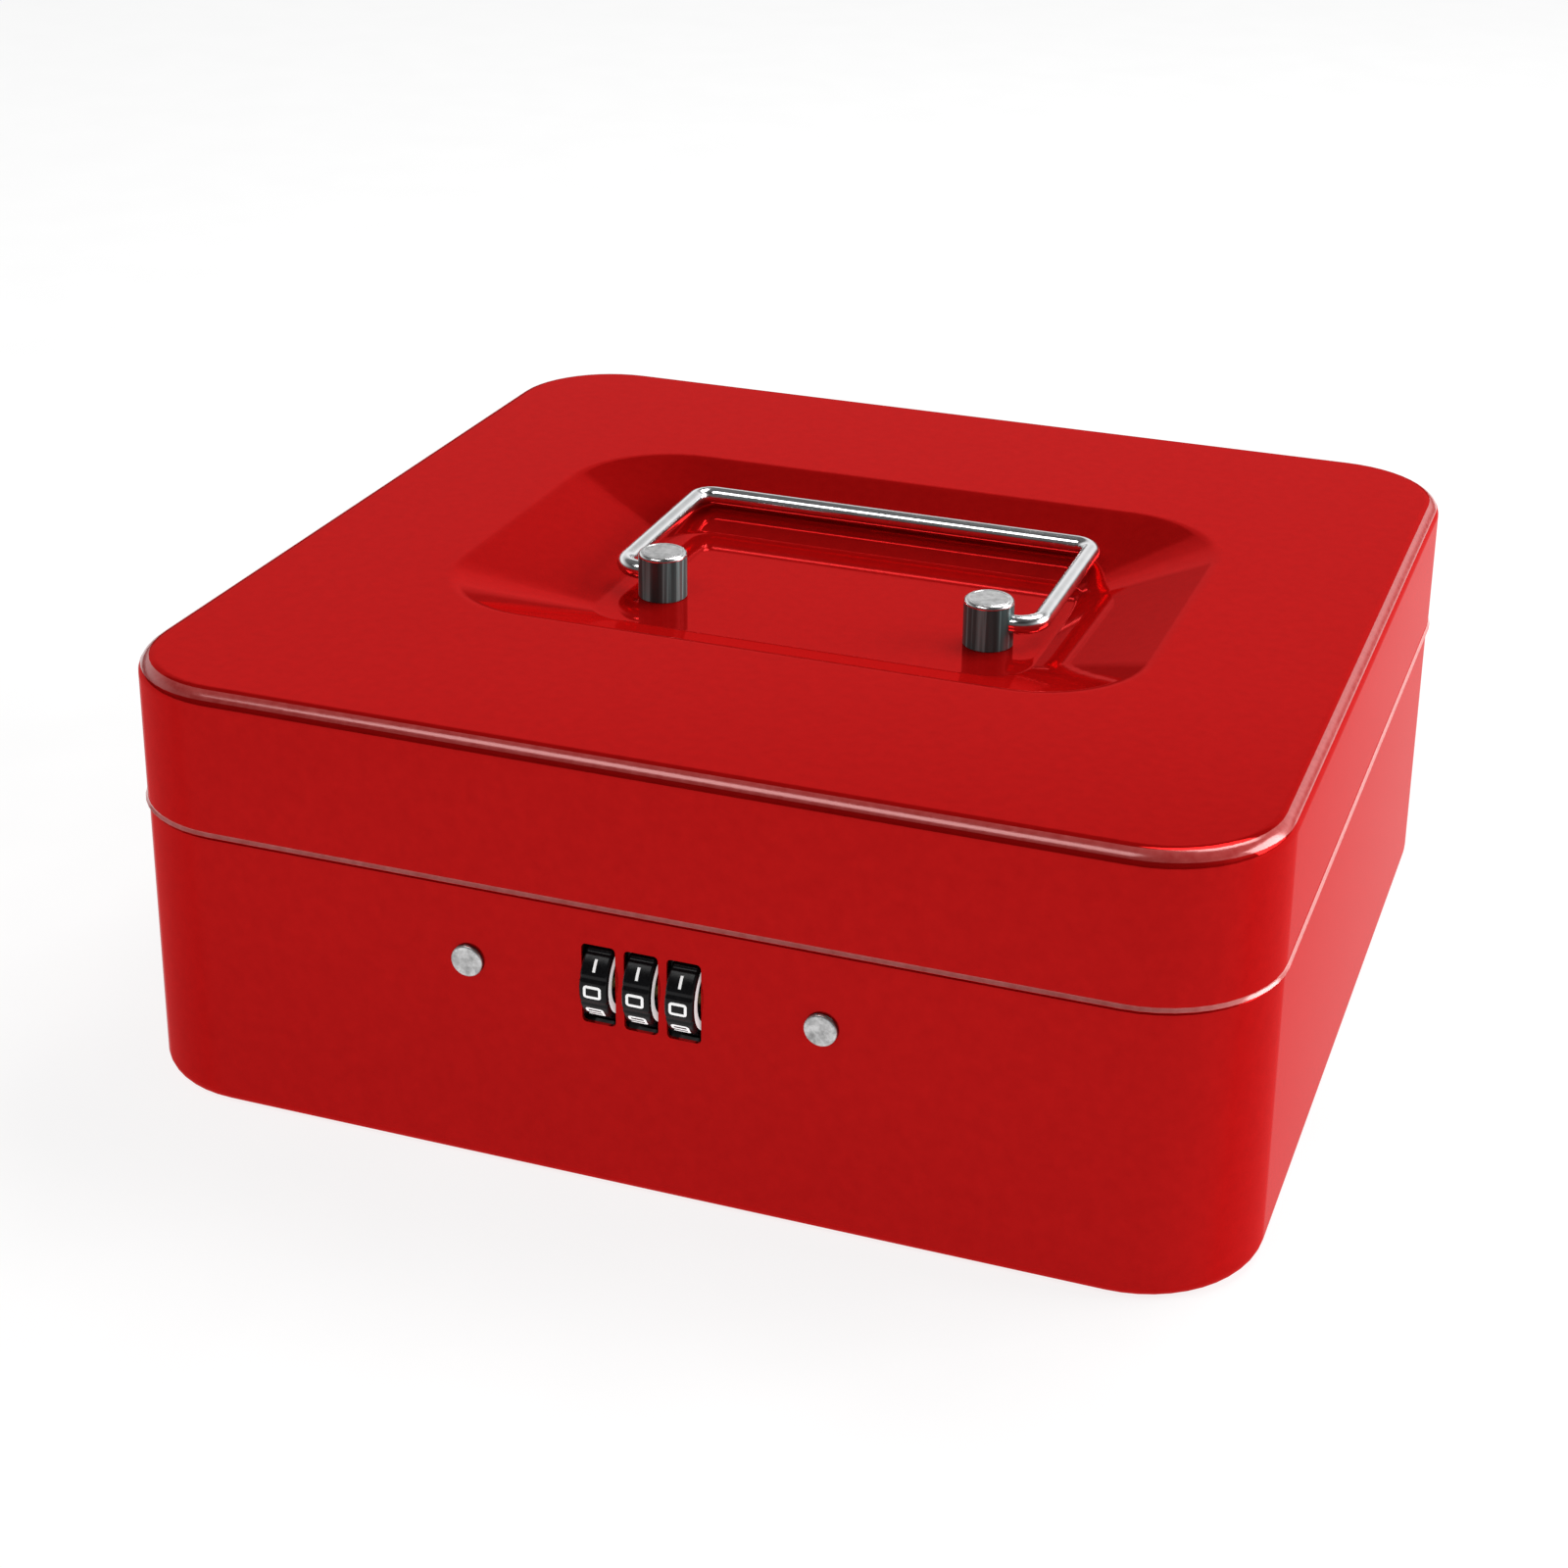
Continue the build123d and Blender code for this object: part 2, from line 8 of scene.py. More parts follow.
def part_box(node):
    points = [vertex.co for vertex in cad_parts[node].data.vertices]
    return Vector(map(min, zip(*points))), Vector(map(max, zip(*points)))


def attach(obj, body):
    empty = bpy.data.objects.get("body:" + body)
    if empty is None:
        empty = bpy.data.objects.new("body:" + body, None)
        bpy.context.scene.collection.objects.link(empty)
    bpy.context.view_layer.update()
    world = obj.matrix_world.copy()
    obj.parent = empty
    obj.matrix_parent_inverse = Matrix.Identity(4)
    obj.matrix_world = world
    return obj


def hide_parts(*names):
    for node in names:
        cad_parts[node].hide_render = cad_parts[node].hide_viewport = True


# Steel cash box with a three-dial combination lock. Metres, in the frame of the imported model.
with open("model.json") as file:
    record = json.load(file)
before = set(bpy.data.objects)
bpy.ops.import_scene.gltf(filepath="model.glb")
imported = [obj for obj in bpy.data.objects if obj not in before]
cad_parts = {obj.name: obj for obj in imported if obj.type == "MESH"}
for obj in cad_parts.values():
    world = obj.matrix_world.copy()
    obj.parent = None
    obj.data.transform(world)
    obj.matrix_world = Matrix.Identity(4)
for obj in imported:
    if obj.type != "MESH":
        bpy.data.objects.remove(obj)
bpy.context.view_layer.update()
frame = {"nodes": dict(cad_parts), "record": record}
MM = 0.001

# ---------------------------------------------------------------- sizes, read from the frame

lid_low, lid_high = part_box("lid_shell")
base_low, base_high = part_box("base_shell")
post_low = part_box("handle_post_right")[0]
wire_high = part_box("handle_wire")[1]
pivots = {joint["name"]: joint for joint in frame["record"]["behaviour"]["joints"]}

HALF_X = lid_high.x
HALF_Y = lid_high.y
RIM = lid_low.z
TOP = lid_high.z
NECK_TOP = base_high.z
CORNER = 25 * MM
SHEET = 0.8 * MM

# How far the lid's wall, the base's wall and the base's neck stand in from the lid's lip
SKIRT = 0.45 * MM
BASE = HALF_X - base_high.x
NECK = SKIRT + SHEET + 0.5 * MM
SHOULDER = RIM - 0.4 * MM
FLARE_Z = 0.9 * MM
FLARE_R = 0.9 * MM
LIP = 0.2 * MM
TOP_FILLET = 3.6 * MM
BOTTOM_FILLET = 3.0 * MM

# How far in from the edge the rings of the lid's top, its underside and the bottom begin
FLAT_INSET = 30 * MM

# The dished recess: half width, half depth and corner radius at its top and at its floor
RECESS_Y = 1.0 * MM
RECESS_FLOOR = post_low.z
RECESS_TOP = (75 * MM, 52 * MM, 24 * MM)
RECESS_BOTTOM = (48 * MM, 28 * MM, 9 * MM)
RECESS_RUN = 25.5 * MM
RECESS_RIM_R = 7 * MM
RECESS_FOOT_R = 4 * MM

# How far the hinge slots reach over the end of a leaf
SLOT_REACH = 4.6 * MM

WIRE_R = 2.0 * MM
WIRE_SIDES = 40
POST_ROUND = 0.85 * MM

wheel_low, wheel_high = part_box("dial_wheel_2")
DIAL_JOINTS = ("dial_1_turn", "dial_2_turn", "dial_3_turn")
DIAL_R = (wheel_high.y - wheel_low.y) / 2
DIAL_W = wheel_high.x - wheel_low.x
DIAL_Z = (wheel_high.z + wheel_low.z) / 2
WINDOW = (3.4 * MM, 8.25 * MM, 0.9 * MM)
FRONT = base_low.y

# Rivets: head radius, shank radius and inner head radius, then outer and inner head thickness
LOCK_RIVET = (3.25 * MM, 1.9 * MM, 2.8 * MM, 0.9 * MM, 1.0 * MM)
HINGE_RIVET = (3.0 * MM, 1.5 * MM, 2.6 * MM, 0.8 * MM, 0.8 * MM)
HINGE_X = 65 * MM
HINGE_RIVET_STEP = 13 * MM

# The tray: its flange, the body that hangs under it, and the wells in the body
FLANGE_T = 1.2 * MM
FLANGE_R = 22.5 * MM
TRAY_SIDE_STEP = 4.3 * MM
TRAY_FRONT_STEP = 19.5 * MM
TRAY_BACK_STEP = 1.5 * MM
TRAY_CORNER = 20 * MM
TRAY_WALL = 1.5 * MM
NOTCH_HALF_X = 48 * MM
COIN_WELLS = 4
WELL_BOTTOM = 6 * MM
WELL_OUTER_R = 18.5 * MM
WELL_INNER_R = 8 * MM
MOUTH = 0.5 * MM

# ---------------------------------------------------------------- mesh helpers


def make_object(name, mesh, material):
    piece = bpy.data.objects.new(name, mesh)
    bpy.context.scene.collection.objects.link(piece)
    mesh.materials.append(material)
    return piece


def mesh_from(name, points, faces):
    mesh = bpy.data.meshes.new(name)
    mesh.from_pydata([tuple(p) for p in points], [], faces)
    mesh.validate()
    shape = bmesh.new()
    shape.from_mesh(mesh)
    bmesh.ops.recalc_face_normals(shape, faces=shape.faces)
    shape.to_mesh(mesh)
    shape.free()
    return mesh


def smooth(piece, angle=35):
    """Shades a piece smooth, apart from edges sharper than angle, and keeps its flat faces flat."""
    mesh = piece.data
    mesh.polygons.foreach_set("use_smooth", [True] * len(mesh.polygons))
    mesh.set_sharp_from_angle(angle=math.radians(angle))
    normals = piece.modifiers.new("flat_faces", "WEIGHTED_NORMAL")
    normals.keep_sharp = True
    return piece


def rounded_ring(outline, z, arc_steps=12):
    """A rounded rectangle as a loop of points. The outline is half width, half depth, radius, centre y."""
    half_x, half_y, radius, middle = outline
    radius = max(radius, 0.01 * MM)
    ring = []
    for quarter, (sx, sy) in enumerate([(1, 1), (-1, 1), (-1, -1), (1, -1)]):
        cx = sx * (half_x - radius)
        cy = middle + sy * (half_y - radius)
        for step in range(arc_steps + 1):
            angle = math.radians(90 * quarter + 90 * step / arc_steps)
            ring.append(Vector((cx + radius * math.cos(angle), cy + radius * math.sin(angle), z)))
    return ring


def bridge(rings, first_cap=True, last_cap=True):
    """Points and faces of a skin stretched over rings that all have the same number of points."""
    count = len(rings[0])
    points = [p for ring in rings for p in ring]
    faces = []
    for level in range(len(rings) - 1):
        low, high = level * count, (level + 1) * count
        for i in range(count):
            j = (i + 1) % count
            faces.append((low + i, low + j, high + j, high + i))
    if first_cap:
        faces.append(tuple(reversed(range(count))))
    if last_cap:
        last = (len(rings) - 1) * count
        faces.append(tuple(range(last, last + count)))
    return points, faces


def rounded_path(corners, steps=8):
    """A 2D path through corners (a, b, radius), each with a tangent arc of that radius."""
    path = []
    for index, (a, b, radius) in enumerate(corners):
        here = Vector((a, b))
        if radius <= 0 or index in (0, len(corners) - 1):
            path.append(here)
            continue
        before = Vector(corners[index - 1][:2]) - here
        after = Vector(corners[index + 1][:2]) - here
        turn = before.angle(after)
        reach = radius / math.tan(turn / 2)
        start = here + before.normalized() * reach
        end = here + after.normalized() * reach
        middle = (before.normalized() + after.normalized()).normalized()
        centre = here + middle * (radius / math.sin(turn / 2))
        first = start - centre
        sweep = first.angle_signed(end - centre)
        for step in range(steps + 1):
            path.append(centre + Matrix.Rotation(-sweep * step / steps, 2) @ first)
    return path


def carve(piece, cutters):
    """Cuts closed cutter objects out of a piece, and removes them."""
    for cutter in cutters:
        cut = piece.modifiers.new("cut", "BOOLEAN")
        cut.operation = "DIFFERENCE"
        cut.solver = "EXACT"
        cut.object = cutter
    bpy.context.view_layer.update()
    graph = bpy.context.evaluated_depsgraph_get()
    mesh = bpy.data.meshes.new_from_object(piece.evaluated_get(graph))
    piece.modifiers.clear()
    old = piece.data
    piece.data = mesh
    bpy.data.meshes.remove(old)
    for cutter in cutters:
        bpy.data.objects.remove(cutter)


def prism(name, ring, direction, material):
    """A closed straight-sided solid: a flat ring of points pushed along a direction."""
    points, faces = bridge([ring, [p + direction for p in ring]])
    return make_object(name, mesh_from(name, points, faces), material)


def lathe(name, profile, origin, axis, material, steps=64):
    """A turned solid. The profile is (radius, height) from one end of the axis to the other."""
    turn = Vector((0, 0, 1)).rotation_difference(Vector(axis)).to_matrix()
    rings = []
    for radius, height in profile:
        ring = []
        for step in range(steps):
            angle = 2 * math.pi * step / steps
            spoke = Vector((radius * math.cos(angle), radius * math.sin(angle), height))
            ring.append(Vector(origin) + turn @ spoke)
        rings.append(ring)
    points, faces = bridge(rings)
    return smooth(make_object(name, mesh_from(name, points, faces), material))


# ---------------------------------------------------------------- materials


def new_material(name, **sockets):
    """A Principled material with constant values set on its own sockets."""
    material = bpy.data.materials.new(name)
    material.use_nodes = True
    shader = material.node_tree.nodes["Principled BSDF"]
    for label, value in sockets.items():
        shader.inputs[label.replace("_", " ")].default_value = value
    return material


def add_node(material, kind, **inputs):
    node = material.node_tree.nodes.new(kind)
    for label, value in inputs.items():
        node.inputs[label.replace("_", " ")].default_value = value
    return node


def link(material, source, target):
    material.node_tree.links.new(source, target)


def noise(material, scale, detail=3.0, roughness=0.5, stretch=(1, 1, 1)):
    """Noise in the object's own metres, with an optional stretch."""
    place = add_node(material, "ShaderNodeTexCoord")
    mapping = add_node(material, "ShaderNodeMapping", Scale=stretch)
    texture = add_node(material, "ShaderNodeTexNoise", Scale=scale, Detail=detail, Roughness=roughness)
    link(material, place.outputs["Object"], mapping.inputs["Vector"])
    link(material, mapping.outputs["Vector"], texture.inputs["Vector"])
    return texture.outputs["Fac"]


def set_stops(node, stops):
    """Gives a colour ramp node its positions and colours."""
    elements = node.color_ramp.elements
    while len(elements) < len(stops):
        elements.new(0.5)
    for element, (position, colour) in zip(elements, stops):
        element.position = position
        element.color = colour


def grey(value):
    return (value, value, value, 1)


def grey_range(low, high):
    return [(0.3, grey(low)), (0.7, grey(high))]


def bump(material, height, strength, distance, under=None):
    node = add_node(material, "ShaderNodeBump", Strength=strength, Distance=distance)
    link(material, height, node.inputs["Height"])
    if under is not None:
        link(material, under, node.inputs["Normal"])
    return node.outputs["Normal"]


def shader_input(material, label):
    return material.node_tree.nodes["Principled BSDF"].inputs[label]


def feed(material, label, source, stops):
    """Feeds one input of the shader from noise through a colour ramp."""
    node = add_node(material, "ShaderNodeValToRGB")
    set_stops(node, stops)
    link(material, source, node.inputs["Fac"])
    link(material, node.outputs["Color"], shader_input(material, label))


def red_paint():
    """Gloss red powder coat: fine orange peel, slight mottling of colour and gloss."""
    material = new_material("red_paint", Metallic=0.5, IOR=1.45)
    shader_input(material, "Specular IOR Level").default_value = 0.0
    shader_input(material, "Specular Tint").default_value = (1.0, 0.12, 0.12, 1)
    shader_input(material, "Coat Weight").default_value = 0.08
    shader_input(material, "Coat Roughness").default_value = 0.05
    mottle = noise(material, 420, detail=4, roughness=0.6)
    colours = [(0.25, (0.46, 0.0042, 0.0042, 1)), (0.75, (0.52, 0.0058, 0.0054, 1))]
    feed(material, "Base Color", mottle, colours)
    feed(material, "Roughness", noise(material, 60, detail=3), grey_range(0.04, 0.07))
    peel = noise(material, 700, detail=2)
    waves = noise(material, 160, detail=1)
    low = bump(material, waves, 0.08, 0.02 * MM)
    link(material, bump(material, peel, 0.12, 0.01 * MM, low), shader_input(material, "Normal"))
    return material


def edge_highlight_paint(name, low, high):
    """The same paint as a painted highlight: a paler, pinker colour for the faces where the highlight lines
    fall, with more white gloss.
    """
    material = new_material(name, Metallic=0.1, IOR=1.5)
    shader_input(material, "Coat Weight").default_value = 0.5
    shader_input(material, "Coat Roughness").default_value = 0.12
    tone = noise(material, 500, detail=4, roughness=0.6)
    feed(material, "Base Color", tone, [(0.3, low), (0.7, high)])
    feed(material, "Roughness", tone, grey_range(0.16, 0.24))
    link(material, bump(material, tone, 0.12, 0.01 * MM), shader_input(material, "Normal"))
    return material


def chrome_wire():
    """Bright chrome plating with a very faint drawn grain."""
    material = new_material("chrome_wire", Metallic=1.0)
    tone = noise(material, 300, detail=3)
    feed(material, "Base Color", tone, [(0.3, (0.86, 0.87, 0.88, 1)), (0.7, (0.95, 0.95, 0.96, 1))])
    feed(material, "Roughness", tone, grey_range(0.15, 0.2))
    drawn = noise(material, 120, detail=2)
    link(material, bump(material, drawn, 0.02, 0.01 * MM), shader_input(material, "Normal"))
    return material


def turned_metal(name, tone_low, tone_high, rough_low, rough_high,
                 depth=0.12, grain=260, tint=(1, 1, 1)):
    """Bare metal with cloudy tone and fine tool marks."""
    material = new_material(name, Metallic=1.0)
    cloud = noise(material, grain, detail=5, roughness=0.65)
    tones = [(0.3, (*[tone_low * c for c in tint], 1)), (0.7, (*[tone_high * c for c in tint], 1))]
    feed(material, "Base Color", cloud, tones)
    marks = noise(material, 1500, detail=3)
    feed(material, "Roughness", marks, grey_range(rough_low, rough_high))
    link(material, bump(material, marks, depth, 0.02 * MM), shader_input(material, "Normal"))
    return material


def post_side():
    """Dark polished steel with painted reflections: lighter streaks along the post, in colours tinted
    towards cyan against the red it reflects.
    """
    material = new_material("post_side", IOR=1.6)
    shader_input(material, "Specular IOR Level").default_value = 0.25
    reflection_streaks = noise(material, 420, detail=2, stretch=(1, 1, 0.02))
    dark, mid, light = (0.024, 0.05, 0.05, 1), (0.05, 0.11, 0.11, 1), (0.18, 0.36, 0.36, 1)
    bands = [(0.35, dark), (0.5, mid), (0.56, light), (0.62, mid), (0.8, dark)]
    feed(material, "Base Color", reflection_streaks, bands)
    fine = noise(material, 1600, detail=3, stretch=(1, 1, 0.1))
    feed(material, "Roughness", fine, grey_range(0.28, 0.4))
    link(material, bump(material, fine, 0.08, 0.02 * MM), shader_input(material, "Normal"))
    return material


def plastic(name, colour, rough_low, rough_high, grain, depth, gloss=0.5):
    """Moulded plastic with a fine grain."""
    material = new_material(name, IOR=1.46)
    shader_input(material, "Specular IOR Level").default_value = gloss
    tone = noise(material, 90, detail=3)
    dark = tuple(c * 0.8 for c in colour) + (1,)
    light = tuple(c * 1.2 for c in colour) + (1,)
    feed(material, "Base Color", tone, [(0.3, dark), (0.7, light)])
    texture = noise(material, grain, detail=2)
    feed(material, "Roughness", texture, grey_range(rough_low, rough_high))
    link(material, bump(material, texture, depth, 0.03 * MM), shader_input(material, "Normal"))
    return material


def glowing_white_paint():
    """White paint in the figures and in the pale ring on each wheel's side, made to glow as painted light,
    bright enough to read inside the windows.
    """
    material = new_material("glowing_white_paint", Roughness=0.45)
    shader_input(material, "Emission Color").default_value = (1, 1, 1, 1)
    shader_input(material, "Emission Strength").default_value = 0.4
    tone = noise(material, 900, detail=3)
    feed(material, "Base Color", tone, grey_range(0.8, 0.92))
    link(material, bump(material, tone, 0.1, 0.02 * MM), shader_input(material, "Normal"))
    return material


def floor_paper():
    """A lit white table top."""
    material = new_material("floor_paper", Roughness=0.9)
    shader_input(material, "Specular IOR Level").default_value = 0.0
    shader_input(material, "Emission Color").default_value = (1, 1, 1, 1)
    shader_input(material, "Emission Strength").default_value = 0.84
    feed(material, "Base Color", noise(material, 30, detail=2), grey_range(0.20, 0.22))
    return material


RED = red_paint()
# Paler and pinker copies of the paint for the top fillet and the lip's flare: painted highlight lines.
FILLET_HIGHLIGHT_RED = edge_highlight_paint("edge_highlight_paint", (0.46, 0.038, 0.036, 1), (0.54, 0.07, 0.066, 1))
LIP_HIGHLIGHT_RED = edge_highlight_paint("lip_highlight_paint", (0.60, 0.12, 0.11, 1), (0.70, 0.19, 0.18, 1))
CHROME = chrome_wire()
POST_SIDE = post_side()
# The posts' rounded edge is a brighter copy of the metal: a painted highlight.
POST_EDGE_HIGHLIGHT = turned_metal("post_edge_highlight", 0.72, 0.85, 0.16, 0.26, depth=0.1)
POST_TOP = turned_metal("post_top", 0.45, 0.8, 0.34, 0.48, depth=0.3, grain=700)
RIVET = turned_metal("rivet_face", 0.3, 0.72, 0.3, 0.5, depth=0.4, grain=700)
ZINC = turned_metal("zinc_steel", 0.45, 0.58, 0.25, 0.4)
SPRING = turned_metal("spring_steel", 0.3, 0.4, 0.2, 0.3)
BRASS = turned_metal("brass_sleeve", 0.62, 0.75, 0.2, 0.35, tint=(1, 0.74, 0.32))
CASE = plastic("black_case", (0.012, 0.012, 0.013), 0.35, 0.5, 900, 0.2)
DIAL = plastic("black_dial", (0.006, 0.006, 0.007), 0.22, 0.32, 1400, 0.1, gloss=0.2)
TRAY = plastic("tray_plastic", (0.014, 0.014, 0.015), 0.4, 0.6, 800, 0.5)
GLOWING_WHITE = glowing_white_paint()

# ---------------------------------------------------------------- shells


def inset_outline(inset):
    """The box outline moved inwards."""
    return (HALF_X - inset, HALF_Y - inset, CORNER - inset, 0.0)


def recess_outline(run):
    """The recess outline at a distance out from the edge of its floor."""
    part = run / RECESS_RUN
    sizes = [low + (high - low) * part for low, high in zip(RECESS_BOTTOM, RECESS_TOP)]
    return (*sizes, RECESS_Y)


def lid_rings():
    """Rings of the lid: up the recess, over the top, down to the flared rim and back along the inside."""
    wall = SKIRT + SHEET
    halfway = RIM + 20 * MM
    slope = [(-12 * MM, RECESS_FLOOR, 0), (0, RECESS_FLOOR, RECESS_FOOT_R), (RECESS_RUN, TOP, RECESS_RIM_R),
             (45 * MM, TOP, 0)]
    upper = rounded_path(slope, steps=9)[:-1]
    outside = [(FLAT_INSET, TOP, 0), (SKIRT, TOP, TOP_FILLET), (SKIRT, halfway, 0)]
    outside = rounded_path(outside, steps=12)[1:]
    flare = [(SKIRT, halfway, 0), (SKIRT, RIM + FLARE_Z, FLARE_R), (0, RIM + LIP, 0.1 * MM),
             (LIP, RIM, 0.2 * MM), (wall, RIM, 0)]
    flare = rounded_path(flare, steps=8)[1:-1]
    inside = [(wall, RIM + 0.1 * MM, 0), (wall, TOP - SHEET, TOP_FILLET - SHEET),
              (FLAT_INSET, TOP - SHEET, 0)]
    inside = rounded_path(inside, steps=8)[:-1]
    rings = [rounded_ring(recess_outline(a), b) for a, b in upper]
    rings += [rounded_ring(inset_outline(a), b) for a, b in outside + flare + inside]
    rings += [rounded_ring(recess_outline(a), b - SHEET) for a, b in reversed(upper)]
    return rings


def box_cutter(name, low, high):
    """A plain block to cut with."""
    ring = [Vector((low[0], low[1], low[2])), Vector((high[0], low[1], low[2])),
            Vector((high[0], high[1], low[2])), Vector((low[0], high[1], low[2]))]
    return prism(name, ring, Vector((0, 0, high[2] - low[2])), RED)


def hinge_cutters(low_z, high_z):
    """Cutters for the slots that the hinge barrels sit in."""
    cutters = []
    play = 1 * MM
    for side in ("left", "right"):
        low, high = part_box("hinge_base_leaf_" + side)
        cutters.append(box_cutter("slot_" + side, (low.x - play, HALF_Y - 3 * MM, low_z),
                                  (high.x + play, HALF_Y + 2 * MM, high_z)))
    return cutters


def lid_skin():
    """Pressed and painted lid, with painted highlights in paler paint on its top edge and on its lip."""
    lid = make_object("lid_skin", mesh_from("lid_skin", *bridge(lid_rings())), RED)
    lid.data.materials.append(FILLET_HIGHLIGHT_RED)
    lid.data.materials.append(LIP_HIGHLIGHT_RED)
    # Faces of the top fillet and of the lip's flare take the painted highlight paints.
    for face in lid.data.polygons:
        outside = max(abs(face.center.x) - HALF_X, abs(face.center.y) - HALF_Y) > -CORNER
        on_fillet = face.center.z > TOP - TOP_FILLET and 0.5 < face.normal.z < 0.93
        on_flare = face.center.z < RIM + FLARE_Z + 0.1 * MM and 0.15 < face.normal.z < 0.9
        if outside and on_fillet:
            face.material_index = 1
        elif outside and on_flare:
            face.material_index = 2
    carve(lid, hinge_cutters(RIM - 2 * MM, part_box("hinge_lid_leaf_left")[0].z + SLOT_REACH))
    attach(smooth(lid, 40), "lid")
    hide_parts("lid_shell")


def base_rings():
    """Rings of the base: bottom, wall, shoulder, neck and back down the inside."""
    neck_out, neck_in = NECK, NECK + SHEET
    wall_in = BASE + SHEET
    soft = 0.25 * MM
    corners = [(FLAT_INSET, 0, 0), (BASE, 0, BOTTOM_FILLET), (BASE, SHOULDER, 0.35 * MM),
               (neck_out, SHOULDER, soft), (neck_out, NECK_TOP, soft), (neck_in, NECK_TOP, soft),
               (neck_in, SHOULDER - SHEET, soft), (wall_in, SHOULDER - SHEET, 0),
               (wall_in, SHEET, BOTTOM_FILLET - SHEET), (FLAT_INSET, SHEET, 0)]
    return [rounded_ring(inset_outline(a), b) for a, b in rounded_path(corners, steps=6)]


def front_cutter(name, x, z, half_x, half_z, radius):
    """A cutter through the front wall with a rounded rectangular outline, in the black case material so that
    the cut edges it leaves are black: painted shade on the edge of the sheet.
    """
    ring = rounded_ring((half_x, half_z, radius, 0), 0, arc_steps=6)
    ring = [Vector((x + p.x, FRONT - 2 * MM, z + p.y)) for p in ring]
    return prism(name, ring, Vector((0, 5 * MM, 0)), CASE)


def base_skin():
    """Drawn and painted bottom box with the dial windows, whose cut edges are black as painted shade."""
    base = make_object("base_skin", mesh_from("base_skin", *bridge(base_rings())), RED)
    cutters = hinge_cutters(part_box("hinge_base_leaf_left")[1].z - SLOT_REACH, NECK_TOP + 2 * MM)
    for name in DIAL_JOINTS:
        x, _, z = pivots[name]["pos_m"]
        cutters.append(front_cutter("window_" + name, x, z, *WINDOW))
    carve(base, cutters)
    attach(smooth(base, 40), "base")
    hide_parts("base_shell")


# ---------------------------------------------------------------- handle


def wire_skin():
    """The bent wire handle, with its ends in the posts."""
    pivot = Vector(pivots["handle_pivot"]["pos_m"])
    arm_x = wire_high.x - WIRE_R
    bar = Vector((0, wire_high.y - WIRE_R, wire_high.z - WIRE_R))
    lean = math.atan2(bar.z - pivot.z, bar.y - pivot.y)
    length = math.hypot(bar.z - pivot.z, bar.y - pivot.y)
    end_x = post_low.x + 3.75 * MM
    angles = [2 * math.pi * step / WIRE_SIDES for step in range(WIRE_SIDES)]
    corners = [(-end_x, 0, 0), (-arm_x, 0, 5 * MM), (-arm_x, length, 4 * MM),
               (arm_x, length, 4 * MM), (arm_x, 0, 5 * MM), (end_x, 0, 0)]
    path = rounded_path(corners, steps=14)
    up = Vector((0, -math.sin(lean), math.cos(lean)))
    rings = []
    for index, here in enumerate(path):
        along = (path[min(index + 1, len(path) - 1)] - path[max(index - 1, 0)]).normalized()
        across = Vector((along.x, along.y * math.cos(lean), along.y * math.sin(lean))).cross(up)
        centre = pivot + Vector((here.x, here.y * math.cos(lean), here.y * math.sin(lean)))
        rings.append([centre + WIRE_R * (up * math.cos(a) + across * math.sin(a)) for a in angles])
    mesh = mesh_from("handle_bail", *bridge(rings))
    wire = smooth(make_object("handle_bail", mesh, CHROME), 50)
    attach(wire, "handle")
    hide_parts("handle_wire")


def post_skin(side):
    """A turned post: dark polished side, a rounded edge in bright metal as a painted highlight, and a satin
    top with a fine groove in it.
    """
    low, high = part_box("handle_post_" + side)
    centre = (low + high) / 2
    radius = (high.x - low.x) / 2
    tall = high.z - low.z
    rim = tall - POST_ROUND
    flat_r = radius - POST_ROUND
    outline = [(0.1 * MM, 0, 0), (radius - 0.12 * MM, 0, 0), (radius, 0.15 * MM, 0),
               (radius, tall, POST_ROUND), (flat_r - 0.25 * MM, tall, 0),
               (flat_r - 0.32 * MM, tall - 0.05 * MM, 0), (flat_r - 0.4 * MM, tall, 0), (0.1 * MM, tall, 0)]
    foot = (centre.x, centre.y, low.z)
    post = lathe("post_" + side, rounded_path(outline, steps=8), foot, (0, 0, 1), POST_SIDE, 96)
    post.data.materials.append(POST_EDGE_HIGHLIGHT)
    post.data.materials.append(POST_TOP)
    # The top face takes the satin top metal, and the rounded edge the bright metal of the painted highlight.
    for face in post.data.polygons:
        height = face.center.z - low.z
        if height > tall - 0.08 * MM and face.normal.z > 0.9:
            face.material_index = 2
        elif height > rim - 0.05 * MM:
            face.material_index = 1
    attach(post, "lid")
    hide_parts("handle_post_" + side)


# ---------------------------------------------------------------- lock


FIGURE_ANGLE = 36


